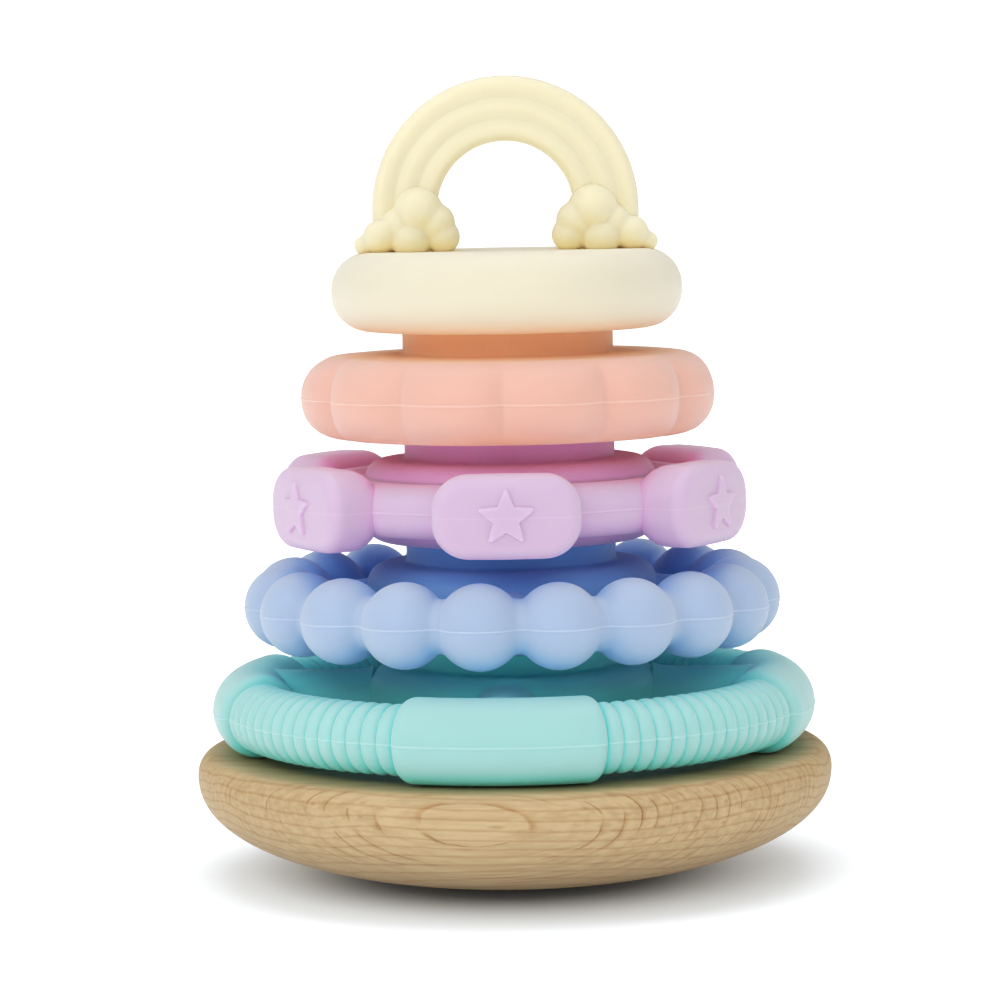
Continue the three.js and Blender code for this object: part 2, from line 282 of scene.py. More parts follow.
def apply_modifiers(obj):
    evaluated = obj.evaluated_get(bpy.context.evaluated_depsgraph_get())
    mesh = bpy.data.meshes.new_from_object(evaluated)
    obj.modifiers.clear()
    old, obj.data = obj.data, mesh
    bpy.data.meshes.remove(old)
    mesh.shade_smooth()


def boolean(obj, other, operation="UNION"):
    modifier = obj.modifiers.new("cut", "BOOLEAN")
    modifier.operation = operation
    modifier.solver = "MANIFOLD"
    modifier.object = other
    apply_modifiers(obj)
    bpy.data.objects.remove(other)


def union(obj, others):
    for other in others:
        boolean(obj, other)
    return obj


def clean(mesh):
    """Melts away the slivers that joining shapes leaves, so that the piece is one closed surface."""
    shape = bmesh.new()
    shape.from_mesh(mesh)
    bmesh.ops.triangulate(shape, faces=shape.faces)
    bmesh.ops.dissolve_degenerate(shape, dist=WELD * MM, edges=shape.edges)
    bmesh.ops.remove_doubles(shape, verts=shape.verts, dist=WELD * MM)
    bmesh.ops.triangulate(shape, faces=shape.faces)
    shape.to_mesh(mesh)
    shape.free()
    mesh.shade_smooth()


def finish_piece(obj, body, node, material, crease=35):
    """Shades the piece, gives it its material and puts it in the CAD node's place."""
    clean(obj.data)
    obj.data.materials.clear()
    obj.data.materials.append(material)
    obj.data.set_sharp_from_angle(angle=math.radians(crease))
    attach(obj, body)
    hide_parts(node)
    return obj


# ---- Hubs -----------------------------------------------------------------------------------------


def hub_profile(middle, next_underside, outside):
    """Socket, hub, collar and bore of a ring. outside is the list of corners between the underside
    and the collar's foot, going up."""
    bottom, top = middle - HUB_HALF, middle + HUB_HALF
    collar_top = next_underside + SOCKET_DEPTH - REST_GAP
    ceiling = bottom + SOCKET_DEPTH
    return outline(
        [(SOCKET_RADIUS, bottom, 0.6)]
        + outside
        + [
            (COLLAR_RADIUS, top, 0.7),
            (COLLAR_RADIUS, collar_top, 1.2),
            (BORE_RADIUS, collar_top, 1.0),
            (BORE_RADIUS, ceiling, 0.6),
            (SOCKET_RADIUS, ceiling, 0.5),
        ]
    )


def plain_hub(name, middle, next_underside):
    bottom, top = middle - HUB_HALF, middle + HUB_HALF
    outside = [(HUB_RADIUS, bottom, 4.6), (HUB_RADIUS, top, 4.6)]
    return turned(name, hub_profile(middle, next_underside, outside))


# ---- Rings ----------------------------------------------------------------------------------------


def spokes(ring, radius, end, middle, turn=0.0):
    """The bars that join a hub to its tube."""
    return [
        flared_bar(
            f"{ring}_spoke_{i}", radius, HUB_RADIUS - SPOKE_SINK, end, SPOKE_FLARE, middle,
            math.radians(360 * i / SPOKE_COUNT + turn),
        )
        for i in range(SPOKE_COUNT)
    ]


def ribbed_ring():
    """Four smooth cuffs with rounded ends, and between them quarters of fine ribs."""
    rib_angle = (90 - 2 * CUFF_HALF_ANGLE) / RIBS_PER_QUARTER
    cuff_end = math.degrees(CUFF_END_ROUND / RIBBED_CENTRE)
    flat = CUFF_HALF_ANGLE - cuff_end
    rounding = np.sin(np.linspace(0, math.pi / 2, 9))[:-1]
    drop = (CUFF_RADIUS - GROOVE_RADIUS - 0.3) * (1 - np.sqrt(1 - (1 - rounding) ** 2))
    rise = cuff_end * rounding - CUFF_HALF_ANGLE
    level = np.linspace(-flat, flat, 49)
    cuff_angles = np.concatenate([rise, level, -rise[::-1]])
    cuff_radii = CUFF_RADIUS - np.concatenate([drop, np.zeros(len(level)), drop[::-1]])
    across = -np.cos(np.linspace(0, math.pi, 11))[:-1]
    rib_radii = GROOVE_RADIUS + (RIB_RADIUS - GROOVE_RADIUS) * (1 - across**2) ** RIB_FULLNESS
    angles, radii = [], []
    for cuff in range(4):
        middle = cuff * 90 + RIBBED_TURN
        angles += list(middle + cuff_angles)
        radii += list(cuff_radii)
        for rib in range(RIBS_PER_QUARTER):
            centre = middle + CUFF_HALF_ANGLE + (rib + 0.5) * rib_angle
            clear = 0.02 if rib == 0 else 0
            angles += list(centre + across * rib_angle / 2 + clear)
            radii += list(rib_radii)
    centres = np.full(len(angles), RIBBED_CENTRE)
    tube = swept_ring("ribbed_tube", np.radians(angles), centres, radii, RIBBED_Z)
    hub = plain_hub("ribbed_ring_soft", RIBBED_Z, lowest("bead_ring") + BEAD_RADIUS - HUB_HALF)
    bars = spokes("ribbed", RIBBED_SPOKE, RIBBED_CENTRE - 2, RIBBED_Z, RIBBED_TURN)
    return union(hub, [*bars, tube])


def bead_ring():
    """Round beads that run into each other at thin necks."""
    bead_angle = 2 * math.pi / BEAD_COUNT
    steps = 30
    angles, centres, radii = [], [], []
    for bead in range(BEAD_COUNT):
        for k in range(steps):
            away = (k / steps - 0.5) * bead_angle
            across = BEAD_CENTRE * math.sin(away)
            ball = math.sqrt(max(BEAD_RADIUS**2 - across**2, 1.0))
            sharp = BEAD_NECK_SHARPNESS
            radius = (ball**sharp + BEAD_NECK**sharp) ** (1 / sharp)
            angles.append(math.radians(BEAD_TURN) + bead * bead_angle + away)
            centres.append(BEAD_CENTRE * math.cos(away))
            radii.append(min(radius, BEAD_RADIUS))
    tube = swept_ring("bead_tube", angles, centres, radii, BEAD_Z)
    hub = plain_hub("bead_ring_soft", BEAD_Z, lowest("star_ring"))
    bars = spokes("bead", BEAD_SPOKE, BEAD_CENTRE - 2, BEAD_Z)
    return union(hub, [*bars, tube])


def offset_outline(edge, out):
    """A closed outline moved out along its normals, or in where out is negative."""
    normals = np.roll(edge, -1, 0) - np.roll(edge, 1, 0)
    normals = np.stack([normals[:, 1], -normals[:, 0]], 1)
    return edge + out * normals / np.linalg.norm(normals, axis=1)[:, None]


def star_block(name):
    """A rounded block whose outer face looks along +X, bent a little to follow the ring."""
    depth, wide, high = (size / 2 for size in BLOCK_SIZE)
    corners = [(-wide, -high), (wide, -high), (wide, high), (-wide, high)]
    edge = outline([(y, z, BLOCK_ROUND) for y, z in corners], spacing=0.6)

    def face(edge_round):
        swing = np.linspace(math.pi / 2, 0, 10)
        inset = edge_round * (1 - np.cos(swing))
        reach = depth - edge_round * (1 - np.sin(swing))
        layers = [(x, offset_outline(edge, -i)) for x, i in zip(reach, inset)]
        cap = [(depth, layers[0][1] * share) for share in (0.0, 0.2, 0.4, 0.6, 0.8, 0.93)]
        return cap + layers

    front = face(BLOCK_EDGE)
    back = [(-x, ring) for x, ring in face(BLOCK_BACK_EDGE)[::-1]]
    ends = np.linspace(depth - BLOCK_EDGE, BLOCK_BACK_EDGE - depth, 7)[1:-1]
    sides = [(x, edge) for x in ends]
    rows = [np.insert(ring, 0, x, axis=1) for x, ring in front + sides + back]
    rows = np.array(rows)
    along = rows[..., 1] / wide
    rows[..., 0] -= BLOCK_BEND * along**2
    rows[..., 2] *= 1 - BLOCK_TAPER * along**2
    crown = np.maximum(0, 1 - (rows[..., 2] / high) ** 2)
    rows[..., 0] += BLOCK_CROWN * crown * np.sign(rows[..., 0])
    rows += np.array([BLOCK_OUTER - BLOCK_CROWN - depth, 0, STAR_Z])
    return grid_object(name, rows, close_rows=False)


def star_mesh(name, height):
    """A raised star with rounded points and sloping sides, facing +X, its middle at the origin."""
    corners = []
    for i in range(10):
        angle = math.pi / 2 + i * math.pi / 5
        reach = STAR_WAIST if i % 2 else STAR_RADIUS
        rounding = STAR_WAIST_ROUND if i % 2 else STAR_TIP_ROUND
        corners.append((reach * math.cos(angle), reach * math.sin(angle), rounding))
    edge = outline(corners, spacing=0.5)
    rows = []
    for out, share in STAR_SLOPE:
        flat = offset_outline(edge, out)
        up = share if share < 0 else share * height
        rows.append(np.stack([np.full(len(flat), up), flat[:, 0], flat[:, 1]], 1))
    return grid_object(name, np.array(rows), close_rows=False)


def star_ring():
    """A rim on a full web, with rounded blocks spaced round it, each with its star."""
    bottom, top = STAR_Z - HUB_HALF, STAR_Z + HUB_HALF
    outer = RIM_CENTRE + RIM_RADIUS
    outside = [
        (HUB_RADIUS, bottom, 4.0),
        (HUB_RADIUS, STAR_Z - WEB_HALF, 0.8),
        (RIM_CENTRE - 4.5, STAR_Z - WEB_HALF, 0.6),
        (RIM_CENTRE - 2.2, STAR_Z - RIM_RADIUS, 1.2),
        (outer, STAR_Z - RIM_RADIUS, 4.9),
        (outer, STAR_Z + RIM_RADIUS, 4.9),
        (RIM_CENTRE - 2.2, STAR_Z + RIM_RADIUS, 1.2),
        (RIM_CENTRE - 4.5, STAR_Z + WEB_HALF, 0.6),
        (HUB_RADIUS, STAR_Z + WEB_HALF, 0.8),
        (HUB_RADIUS, top, 4.0),
    ]
    profile = with_seam(hub_profile(STAR_Z, lowest("scalloped_ring"), outside), STAR_Z, outer)
    ring = turned("star_ring_soft", profile)
    for i in range(BLOCK_COUNT):
        turn = Matrix.Rotation(math.radians(BLOCK_TURN + i * 360 / BLOCK_COUNT), 4, "Z")
        block = star_block(f"star_block_{i}")
        star = star_mesh(f"star_{i}", STAR_HEIGHT)
        star.data.transform(Matrix.Translation(Vector((BLOCK_OUTER - 0.12, 0, STAR_Z)) * MM))
        union(block, [star])
        block.data.transform(turn)
        union(ring, [block])
    return ring


def scalloped_ring():
    """A thick disc whose edge bulges into lobes, with a soft groove between each two."""
    bottom, top = SCALLOP_Z - HUB_HALF, SCALLOP_Z + HUB_HALF
    low, high = SCALLOP_Z - SCALLOP_HALF, SCALLOP_Z + SCALLOP_HALF
    outside = [(27.5, bottom, 0.5), (28.5, low, 0.5), (SCALLOP_RADIUS, low, 8.0)]
    outside += [(SCALLOP_RADIUS, high, 8.0), (28.5, high, 0.5), (27.5, top, 0.5)]
    profile = hub_profile(SCALLOP_Z, lowest("topper_disc"), outside)
    profile = with_seam(profile, SCALLOP_Z, SCALLOP_RADIUS)
    lobe = 2 * math.pi / SCALLOP_COUNT

    def spread(points, angle):
        lobes = (angle - math.radians(SCALLOP_TURN)) / lobe
        from_groove = math.hypot(abs(lobes - round(lobes)) * 2, 0.04)
        groove = SCALLOP_DEPTH * max(1 - from_groove, 0) ** SCALLOP_SHARPNESS
        share = np.clip((points[:, 0] - SCALLOP_START) / (SCALLOP_RADIUS - SCALLOP_START), 0, 1)
        moved = points.copy()
        moved[:, 0] -= groove * share**1.5
        return moved

    return turned("scalloped_ring_soft", profile, SCALLOP_COUNT * 32, spread=spread)


# ---- Topper ---------------------------------------------------------------------------------------


def topper_disc():
    bottom, top = TOPPER_Z - TOPPER_HALF, TOPPER_TOP
    ceiling = bottom + SOCKET_DEPTH
    profile = outline(
        [
            (0, ceiling, 0),
            (SOCKET_RADIUS, ceiling, 0.5),
            (SOCKET_RADIUS, bottom, 0.6),
            (TOPPER_RADIUS, bottom, 7.9),
            (TOPPER_RADIUS, top, 7.9),
            (0, top, 0),
        ]
    )
    profile = profile[: np.nonzero(profile[:, 0] < 1e-9)[0][1] + 1]
    return turned("topper_disc_soft", profile, on_axis=True)


# Puffs of the left cloud: x, height above the topper disc, distance from the arch's middle plane,
# and radius.
PUFFS = [
    (-18.4, 8.4, 4.6, 5.2),
    (-14.9, 5.9, 4.6, 4.2),
    (-13.3, 2.9, 4.8, 3.6),
    (-26.4, 3.2, 4.8, 3.7),
    (-22.6, 5.5, 4.4, 3.9),
    (-29.9, 1.5, 4.0, 2.1),
    (-20.0, 2.5, 5.4, 4.2),
]
FOOT_SINK = 0.4
CLOUD_VOXEL = 0.28
CLOUD_SMOOTHING = 24
BELOW_SIZE = 100.0


def arch_section():
    """Across the arch: distance from its inner edge and depth, with a soft groove between bands."""
    total = ARCH_OUTER - ARCH_INNER
    across = np.linspace(ARCH_EDGE_ROUND, total - ARCH_EDGE_ROUND, 76)
    in_band = (across * ARCH_BANDS / total) % 1.0
    crown = BAND_DEPTH * np.abs(np.sin(math.pi * in_band)) ** 1.3
    rounded = 1.1 * np.maximum(1 - np.minimum(across, across[::-1]) / 1.8, 0) ** 2.2
    face = ARCH_DEPTH / 2 - BAND_DEPTH + crown - rounded
    side = np.linspace(-1, 1, 22)[1:-1]
    bulge = ARCH_EDGE_ROUND * (1 - np.sqrt(1 - np.abs(side) ** 3))
    front = np.stack([across, -face], 1)
    outer = np.stack([total - bulge, side * face[0]], 1)
    back = np.stack([across[::-1], face[::-1]], 1)
    inner = np.stack([bulge, -side * face[0]], 1)
    return np.concatenate([front, outer, back, inner])


def rainbow_arch():
    """A half ring on two straight legs, each foot in a cloud."""
    section = arch_section()
    out, depth = ARCH_INNER + section[:, 0], section[:, 1]
    legs = np.linspace(TOPPER_TOP - FOOT_SINK, ARCH_Z, 14)[:-1]
    left = [(-out, np.full(len(out), z)) for z in legs]
    right = [(out, np.full(len(out), z)) for z in legs[::-1]]
    bend = [
        (out * math.cos(angle), ARCH_Z + out * math.sin(angle))
        for angle in np.linspace(math.pi, 0, 121)
    ]
    rows = [np.stack([x, depth, z], 1) for x, z in left + bend + right]
    arch = grid_object("rainbow_arch_soft", np.array(rows), close_rows=False)
    return union(arch, [cloud(side) for side in (-1, 1)])


def simple_shape(name, create, place, **sizes):
    """An object from one of bmesh's own shapes, its middle at a place in millimetres."""
    shape = bmesh.new()
    create(shape, matrix=Matrix.Translation(Vector(place) * MM), **sizes)
    mesh = bpy.data.meshes.new(name)
    shape.to_mesh(mesh)
    shape.free()
    obj = bpy.data.objects.new(name, mesh)
    bpy.context.scene.collection.objects.link(obj)
    return obj


def cloud(side):
    """The puffs round one foot, melted into each other and cut off at the disc."""
    balls = [
        simple_shape(
            "puff", bmesh.ops.create_icosphere, (-side * x, face * out, TOPPER_TOP + up),
            subdivisions=4, radius=radius * MM,
        )
        for x, up, out, radius in PUFFS
        for face in (-1, 1)
    ]
    whole = union(balls[0], balls[1:])
    whole.name = f"cloud_{side}"
    middle = TOPPER_TOP - FOOT_SINK - BELOW_SIZE / 2
    below = simple_shape("below", bmesh.ops.create_cube, (0, 0, middle), size=BELOW_SIZE * MM)
    boolean(whole, below, "DIFFERENCE")
    remesh = whole.modifiers.new("melt", "REMESH")
    remesh.mode = "VOXEL"
    remesh.voxel_size = CLOUD_VOXEL * MM
    smooth = whole.modifiers.new("soften", "SMOOTH")
    smooth.factor = 0.5
    smooth.iterations = CLOUD_SMOOTHING
    apply_modifiers(whole)
    return whole


# ---- Wood -----------------------------------------------------------------------------------------


def base_profile():
    """From the middle of the foot, up round the bowl and the rim, to the recess in the top."""

    def drop(share):
        """How far below its widest part the bowl is, at a share of its radius."""
        return (1 - np.minimum(share, 1.0) ** BASE_FULLNESS) ** (1 / BASE_FULLNESS)

    foot_share = BASE_FOOT / BASE_RADIUS
    out = foot_share + (1 - foot_share) * np.sin(np.linspace(0, math.pi / 2, 70))
    under = np.stack([out * BASE_RADIUS, BASE_WIDEST * (1 - drop(out) / drop(foot_share))], 1)
    rim = np.linspace(0, math.pi / 2, 22)[1:]
    edge_out = BASE_RADIUS - BASE_RIM_ROUND * (1 - np.cos(rim))
    edge = np.stack([edge_out, BASE_WIDEST + (BASE_TOP - BASE_WIDEST) * np.sin(rim)], 1)
    flat_out = np.linspace(edge[-1, 0], BASE_RADIUS - 8, 5)[1:-1]
    flat = np.stack([flat_out, np.full(len(flat_out), BASE_TOP)], 1)
    floor = BASE_TOP - RECESS_DEPTH
    corners = [(BASE_RADIUS - 8, BASE_TOP, 0), (RECESS_RADIUS, BASE_TOP, 0.4)]
    corners += [(RECESS_RADIUS, floor, 0.3), (0, floor, 0)]
    recess = outline(corners, spacing=1.5)
    recess = recess[: np.nonzero(recess[:, 0] < 1e-9)[0][0] + 1]
    foot_out = np.linspace(0, BASE_FOOT, 6)[:-1]
    foot = np.stack([foot_out, np.zeros(len(foot_out))], 1)
    return np.concatenate([foot, under, edge, flat, recess])


def wooden_base():
    return turned("wooden_base_turned", base_profile(), 288, on_axis=True)


def locating_disc():
    low, high = lowest("locating_disc"), highest("locating_disc")
    profile = outline(
        [(0, low, 0), (COLLAR_RADIUS, low, 0.4), (COLLAR_RADIUS, high, 1.2), (0, high, 0)], 1.5
    )
    profile = profile[: np.nonzero(profile[:, 0] < 1e-9)[0][1] + 1]
    return turned("locating_disc_turned", profile, 144, on_axis=True)


# ---- Materials ------------------------------------------------------------------------------------

# A painted highlight along the mould line: its pale colour, and the distances from the line in millimetres
# where it is full and where it ends.
MOULD_LINE_HIGHLIGHT = (0.95, 0.95, 0.95)
MOULD_HIGHLIGHT_NEAR = 0.08
MOULD_HIGHLIGHT_FAR = 0.2
# How far, in metres, the ambient occlusion looks for the hollows that get painted shade.
PAINTED_SHADE_REACH = 0.03

RING_SPACING = 2.1
RAY_SPACING = 2.1
RING_WANDER = 0.009
BEECH_PALE = (0.575, 0.427, 0.245)
BEECH_MID = (0.51, 0.36, 0.19)
BEECH_LINE = (0.43, 0.255, 0.11)
BEECH_STROKE = (0.35, 0.20, 0.085)
BEECH_DARK = (0.26, 0.15, 0.07)
RAY_SHADE = (0.84, 0.77, 0.70)
STREAK_SHADE = (0.83, 0.80, 0.77)
PATCH_SHADE = (0.86, 0.83, 0.81)
# Painted shade for the underside of the wood.
UNDERSIDE_PAINTED_SHADE = (0.74, 0.73, 0.72)

BLACK = (0.0, 0.0, 0.0)
WHITE = (1.0, 1.0, 1.0)


def grey(level):
    return (level, level, level)


class Nodes:
    """A new material and short ways to add its nodes."""

    def __init__(self, name):
        self.material = bpy.data.materials.new(name)
        self.material.use_nodes = True
        self.tree = self.material.node_tree
        self.shader = self.tree.nodes["Principled BSDF"]

    def add(self, kind, **inputs):
        node = self.tree.nodes.new(kind)
        for name, value in inputs.items():
            node.inputs[name.replace("_", " ")].default_value = value
        return node

    def link(self, source, target):
        self.tree.links.new(source, target)

    def place(self):
        """Where a point is on the piece itself, which goes with it when it moves."""
        return self.add("ShaderNodeTexCoord").outputs["Object"]

    def height(self, place):
        parts = self.add("ShaderNodeSeparateXYZ")
        self.link(place, parts.inputs["Vector"])
        return parts.outputs["Z"]

    def maths(self, operation, first, second=0.0):
        node = self.add("ShaderNodeMath")
        node.operation = operation
        self.link(first, node.inputs[0])
        node.inputs[1].default_value = second
        return node.outputs["Value"]

    def vector_maths(self, operation, first):
        node = self.add("ShaderNodeVectorMath")
        node.operation = operation
        self.link(first, node.inputs[0])
        return node

    def mapped(self, source, low, high, to_low, to_high):
        node = self.add("ShaderNodeMapRange", From_Min=low, From_Max=high, To_Min=to_low, To_Max=to_high)
        self.link(source, node.inputs["Value"])
        return node.outputs["Result"]

    def noise(self, source, scale, detail, roughness):
        node = self.add("ShaderNodeTexNoise", Scale=scale, Detail=detail, Roughness=roughness)
        self.link(source, node.inputs["Vector"])
        return node

    def wave(self, kind, direction, spacing, source):
        """Saw-tooth rings or bands, this many millimetres apart, slightly uneven."""
        node = self.add("ShaderNodeTexWave", Distortion=0.5, Detail=3.0, Detail_Scale=2.0)
        node.inputs["Scale"].default_value = math.pi / (10 * spacing * MM)
        node.wave_type = kind
        if kind == "RINGS":
            node.rings_direction = direction
        else:
            node.bands_direction = direction
        node.wave_profile = "SAW"
        self.link(source, node.inputs["Vector"])
        return node.outputs["Fac"]

    def stretched(self, source, along):
        """The same place with its X scaled, which draws a texture out along the grain."""
        node = self.add("ShaderNodeMapping", Scale=(along, 1, 1))
        self.link(source, node.inputs["Vector"])
        return node.outputs["Vector"]

    def mixed(self, first, second, share, blend="MIX"):
        """Two colours mixed; each may be a socket or a plain colour."""
        node = self.add("ShaderNodeMix")
        node.data_type = "RGBA"
        node.blend_type = blend
        factor, a, b = (node.inputs[i] for i in (0, 6, 7))
        for value, socket in ((share, factor), (first, a), (second, b)):
            if isinstance(value, bpy.types.NodeSocket):
                self.link(value, socket)
            else:
                socket.default_value = (*value, 1) if isinstance(value, tuple) else value
        return node.outputs[2]

    def multiplied(self, first, second):
        return self.mixed(first, second, 1.0, "MULTIPLY")

    def ramp(self, source, stops):
        node = self.add("ShaderNodeValToRGB")
        elements = node.color_ramp.elements
        while len(elements) < len(stops):
            elements.new(0.5)
        for element, (place, colour) in zip(elements, stops):
            element.position = place
            element.color = (*colour, 1)
        self.link(source, node.inputs["Fac"])
        return node.outputs["Color"]

    def bumped(self, source, strength, distance):
        """Makes the surface rise and fall with the source, by up to this distance."""
        node = self.add("ShaderNodeBump", Strength=strength, Distance=distance)
        self.link(source, node.inputs["Height"])
        self.link(node.outputs["Normal"], self.shader.inputs["Normal"])


def seam_highlight(n, place, height, strength):
    """Strength of the painted highlight along the mould line at this height, which is in millimetres."""
    away = n.maths("ABSOLUTE", n.maths("SUBTRACT", n.height(place), height * MM))
    return n.mapped(away, MOULD_HIGHLIGHT_NEAR * MM, MOULD_HIGHLIGHT_FAR * MM, strength, 0.0)


def silicone(name, colour, painted_hollow_shade, seam_height=None, seam_highlight_strength=0.0):
    """Soft-touch silicone: a powdery matt skin over a colour that glows a little from inside.

    Where the ambient occlusion node finds a hollow, the colour gives way to the second colour, a darker
    and stronger one: painted shade. At seam_height a paler line is painted along the mould line as a
    painted highlight."""
    n = Nodes(name)
    place = n.place()
    cloudy = n.noise(place, 38.0, 4.0, 0.6)
    shade = tuple(0.95 * c for c in colour)
    tint = n.ramp(cloudy.outputs["Fac"], [(0.25, shade), (0.75, colour)])
    # Painted shade: hollows found by ambient occlusion take the darker, stronger second colour.
    shade_occlusion = n.add("ShaderNodeAmbientOcclusion", Distance=PAINTED_SHADE_REACH)
    shade_occlusion.samples = 8
    tint = n.mixed(painted_hollow_shade, tint, n.ramp(shade_occlusion.outputs["AO"], [(0.15, BLACK), (0.72, WHITE)]))
    # Painted highlight: a pale line along the mould line.
    if seam_height is not None:
        tint = n.mixed(tint, MOULD_LINE_HIGHLIGHT, seam_highlight(n, place, seam_height, seam_highlight_strength))
    n.link(tint, n.shader.inputs["Base Color"])
    smears = n.noise(place, 90.0, 6.0, 0.65)
    n.link(n.mapped(smears.outputs["Fac"], 0.3, 0.7, 0.43, 0.59), n.shader.inputs["Roughness"])
    n.bumped(n.noise(place, 2600.0, 3.0, 0.7).outputs["Fac"], 0.12, 0.00004)
    inputs = n.shader.inputs
    inputs["Subsurface Weight"].default_value = 0.6
    inputs["Subsurface Radius"].default_value = tuple(0.3 + c for c in colour)
    inputs["Subsurface Scale"].default_value = 0.0035
    inputs["IOR"].default_value = 1.5
    inputs["Sheen Weight"].default_value = 0.38
    inputs["Sheen Roughness"].default_value = 1.0
    return n.material


def beech(name, pith, turn):
    """Beech with its grain along X, turned about Z. The growth rings run round a pith line far to one
    side, so that they cut the turned edge in nested loops; fine ray lines lie level, across them."""
    n = Nodes(name)
    place = n.place()
    mapping = n.add("ShaderNodeMapping", Location=pith, Rotation=(0, 0, turn))
    n.link(place, mapping.inputs["Vector"])
    board = mapping.outputs["Vector"]
    along = n.stretched(board, 0.3)

    # Growth rings, which wander slowly along the grain and come and go in strength.
    shift = n.vector_maths("SCALE", n.noise(along, 36.0, 2.0, 0.45).outputs["Color"])
    shift.inputs["Scale"].default_value = RING_WANDER
    wandering = n.vector_maths("ADD", board)
    n.link(shift.outputs["Vector"], wandering.inputs[1])
    moved = wandering.outputs["Vector"]
    rings = n.wave("RINGS", "X", RING_SPACING, moved)
    year = [(0.0, BEECH_LINE), (0.05, BEECH_PALE), (0.7, BEECH_PALE), (0.9, BEECH_MID), (0.96, BEECH_LINE)]
    strength = n.noise(n.stretched(board, 0.5), 120.0, 2.0, 0.5)
    present = n.ramp(strength.outputs["Fac"], [(0.50, grey(0.05)), (0.62, grey(0.9))])
    colour = n.mixed(BEECH_PALE, n.ramp(rings, year), present)

    # Late wood here and there closes to a thin dark stroke.
    stroke = n.ramp(rings, [(0.0, WHITE), (0.04, BLACK), (0.90, BLACK), (0.98, WHITE)])
    breaks = n.noise(n.stretched(board, 0.35), 200.0, 2.0, 0.6)
    broken = n.ramp(breaks.outputs["Fac"], [(0.54, BLACK), (0.62, grey(0.8))])
    colour = n.mixed(colour, BEECH_STROKE, n.multiplied(stroke, broken))

    # Level ray lines.
    rays = n.wave("BANDS", "Z", RAY_SPACING, moved)
    ray_tone = n.ramp(rays, [(0.0, RAY_SHADE), (0.2, WHITE), (0.86, WHITE), (1.0, RAY_SHADE)])
    colour = n.multiplied(colour, ray_tone)

    # The underside is darkened with painted shade. Fine streaks and broad patches lie along the grain.
    height = n.mapped(n.height(place), 0.004, 0.02, 0.0, 1.0)
    colour = n.multiplied(colour, n.ramp(height, [(0.0, UNDERSIDE_PAINTED_SHADE), (1.0, WHITE)]))
    streaks = n.noise(n.stretched(board, 0.05), 900.0, 4.0, 0.6).outputs["Fac"]
    colour = n.multiplied(colour, n.ramp(streaks, [(0.35, STREAK_SHADE), (0.62, WHITE)]))
    patches = n.noise(along, 22.0, 3.0, 0.5).outputs["Fac"]
    colour = n.multiplied(colour, n.ramp(patches, [(0.32, PATCH_SHADE), (0.66, WHITE)]))

    # Ray flecks: spindles along the grain, in about a third of the cells.
    cells = n.add("ShaderNodeTexVoronoi", Scale=700.0)
    n.link(n.stretched(moved, 0.16), cells.inputs["Vector"])
    spindle = n.ramp(cells.outputs["Distance"], [(0.1, grey(0.4)), (0.3, BLACK)])
    chosen = n.ramp(cells.outputs["Color"], [(0.56, BLACK), (0.66, WHITE)])
    colour = n.mixed(colour, BEECH_DARK, n.multiplied(spindle, chosen))
    n.link(colour, n.shader.inputs["Base Color"])

    n.bumped(streaks, 0.2, 0.00006)
    n.link(n.mapped(streaks, 0.0, 1.0, 0.5, 0.66), n.shader.inputs["Roughness"])
    n.shader.inputs["IOR"].default_value = 1.45
    return n.material


# Each silicone: its colour, the painted shade for its hollows, and where given the mould line's height and
# the strength of its painted highlight.
AQUA = silicone("aqua_silicone", (0.22, 0.54, 0.52), (0.0, 0.82, 0.78), RIBBED_Z, 0.1)
PERIWINKLE = silicone("periwinkle_silicone", (0.255, 0.375, 0.575), (0.04, 0.36, 0.86), BEAD_Z, 0.12)
LILAC = silicone("lilac_silicone", (0.51, 0.34, 0.53), (0.80, 0.31, 0.72), STAR_Z, 0.06)
PEACH = silicone("peach_silicone", (0.665, 0.32, 0.23), (1.0, 0.51, 0.20), SCALLOP_Z, 0.11)
CREAM = silicone("cream_silicone", (0.64, 0.585, 0.42), (0.90, 0.64, 0.36))
PALE_YELLOW = silicone("pale_yellow_silicone", (0.67, 0.61, 0.38), (0.82, 0.70, 0.30))
BEECH_BASE = beech("beech_base", pith=(0.0, -0.3509, -0.018), turn=0.13)
BEECH_DISC = beech("beech_disc", pith=(0.0, -0.1, -0.06), turn=0.9)

# ---- The toy --------------------------------------------------------------------------------------

finish_piece(wooden_base(), "base", "wooden_base", BEECH_BASE)
finish_piece(locating_disc(), "base", "locating_disc", BEECH_DISC)
finish_piece(ribbed_ring(), "ribbed_ring_body", "ribbed_ring", AQUA, crease=50)
finish_piece(bead_ring(), "bead_ring_body", "bead_ring", PERIWINKLE)
finish_piece(star_ring(), "star_ring_body", "star_ring", LILAC)
finish_piece(scalloped_ring(), "scalloped_ring_body", "scalloped_ring", PEACH)
finish_piece(topper_disc(), "topper_body", "topper_disc", CREAM)
finish_piece(rainbow_arch(), "topper_body", "rainbow_arch", PALE_YELLOW)

# ---- Stage, light and camera ----------------------------------------------------------------------

CAMERA_PLACE = Vector((-0.0022, -0.7854, 0.14845))
CAMERA_PITCH = 5.01
CAMERA_ROLL = 1.0
LENS = 133.5
LIGHT_TARGET = Vector((0, 0, 0.08))
ROOM_LIGHT = 0.42
BACKGROUND_WHITE = 1.2

FLOOR_COOL = (0.80, 0.88, 0.96)
FLOOR_WHITE = (0.88, 0.88, 0.88)
# How strongly the floor glows at each distance from the middle of the toy, in metres.
FLOOR_GLOW = [(0.02, 0.0), (0.032, 0.03), (0.046, 0.18), (0.07, 0.33), (0.3, 0.42), (0.7, 1.0)]


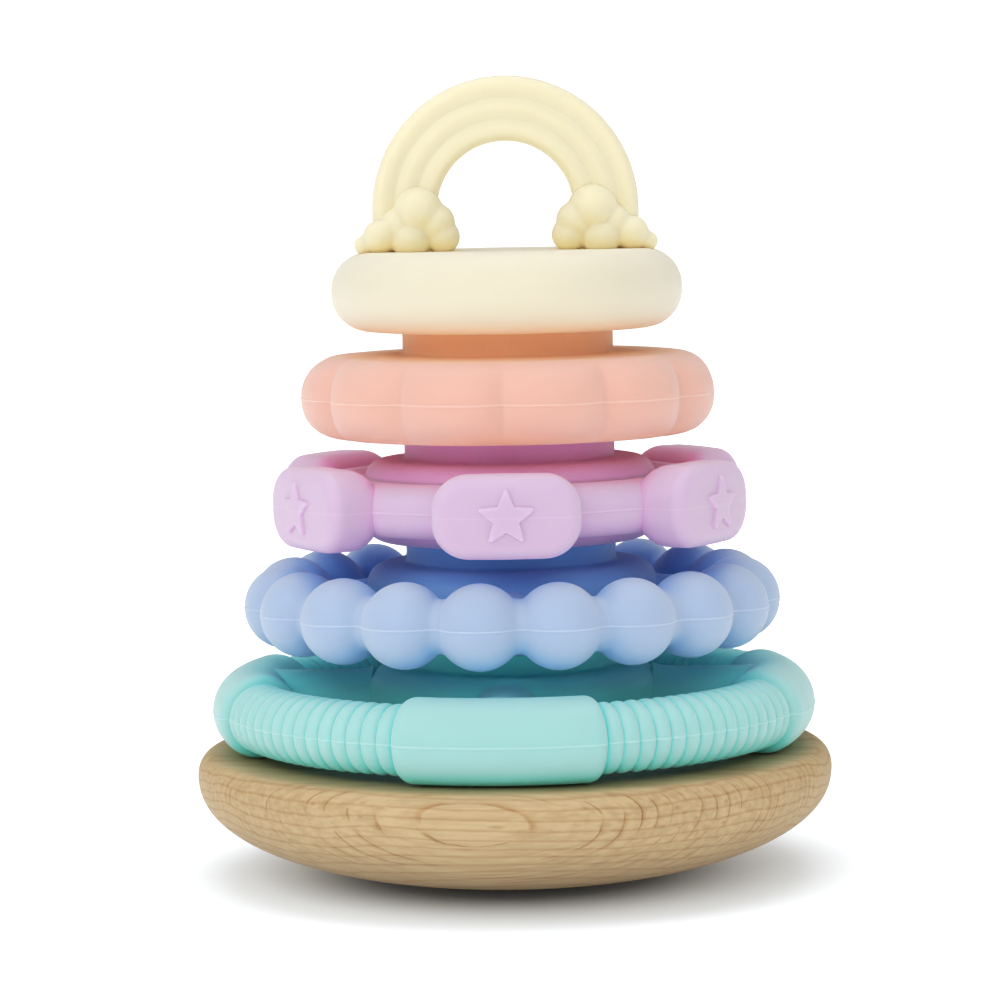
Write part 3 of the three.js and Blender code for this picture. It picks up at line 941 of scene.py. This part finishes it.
def add_floor():
    """A matt white floor that glows away from the toy, so that it runs into the background."""
    bpy.ops.mesh.primitive_circle_add(vertices=96, radius=6, fill_type="NGON")
    floor = bpy.context.object
    floor.name = "floor"
    n = Nodes("floor_white")
    away = n.vector_maths("LENGTH", n.place()).outputs["Value"]
    glow = n.ramp(away, [(distance, grey(level)) for distance, level in FLOOR_GLOW])
    n.link(glow, n.shader.inputs["Emission Strength"])
    # The cool white near the toy evens out the warm light that the wood throws on it.
    n.link(n.ramp(away, [(0.06, FLOOR_COOL), (0.1, FLOOR_WHITE)]), n.shader.inputs["Base Color"])
    n.shader.inputs["Emission Color"].default_value = (1, 1, 1, 1)
    n.shader.inputs["Roughness"].default_value = 0.8
    n.shader.inputs["Specular IOR Level"].default_value = 0.0
    floor.data.materials.append(n.material)


def area_light(name, place, size, power):
    """A rectangular light aimed at the toy, which the camera doesn't see."""
    light = bpy.data.lights.new(name, "AREA")
    light.shape = "RECTANGLE"
    light.size, light.size_y = size
    light.energy = power
    obj = bpy.data.objects.new(name, light)
    bpy.context.scene.collection.objects.link(obj)
    obj.visible_camera = False
    obj.location = place
    obj.rotation_euler = (LIGHT_TARGET - Vector(place)).to_track_quat("-Z", "Y").to_euler()


def add_light():
    """A room of soft light, seen as pure white behind the toy, and four large soft boxes."""
    world = bpy.data.worlds.new("studio")
    bpy.context.scene.world = world
    world.use_nodes = True
    tree = world.node_tree
    room = tree.nodes["Background"]
    room.inputs["Color"].default_value = (1, 1, 1, 1)
    room.inputs["Strength"].default_value = ROOM_LIGHT
    white = tree.nodes.new("ShaderNodeBackground")
    white.inputs["Color"].default_value = (1, 1, 1, 1)
    white.inputs["Strength"].default_value = BACKGROUND_WHITE
    ray = tree.nodes.new("ShaderNodeLightPath")
    choice = tree.nodes.new("ShaderNodeMixShader")
    tree.links.new(ray.outputs["Is Camera Ray"], choice.inputs["Fac"])
    tree.links.new(room.outputs["Background"], choice.inputs[1])
    tree.links.new(white.outputs["Background"], choice.inputs[2])
    tree.links.new(choice.outputs["Shader"], tree.nodes["World Output"].inputs["Surface"])
    area_light("front", (-0.1, -1.2, 0.7), (1.4, 0.6), 5.6)
    area_light("key", (-0.7, -0.5, 0.7), (0.6, 0.6), 2.4)
    area_light("fill", (0.7, -0.5, 0.7), (0.6, 0.6), 0.9)
    area_light("top", (0.0, 0.05, 1.1), (1.0, 1.0), 5.6)


def add_camera():
    camera = bpy.data.objects.new("camera", bpy.data.cameras.new("camera"))
    bpy.context.scene.collection.objects.link(camera)
    camera.location = CAMERA_PLACE
    look = Euler((math.radians(90 - CAMERA_PITCH), 0, 0)).to_matrix()
    roll = Matrix.Rotation(math.radians(-CAMERA_ROLL), 3, "Z")
    camera.rotation_euler = (look @ roll).to_euler()
    camera.data.lens = LENS
    camera.data.sensor_width = 36
    camera.data.clip_start = 0.01
    camera.data.clip_end = 30
    bpy.context.scene.camera = camera


def add_tone():
    """A plain film curve: the shade a little deeper, the lights as they are."""
    view = bpy.context.scene.view_settings
    view.view_transform = "Standard"
    view.use_curve_mapping = True
    curve = view.curve_mapping.curves[3]
    curve.points.new(0.10, 0.08)
    curve.points.new(0.45, 0.445)
    view.curve_mapping.update()


add_floor()
add_light()
add_camera()
add_tone()
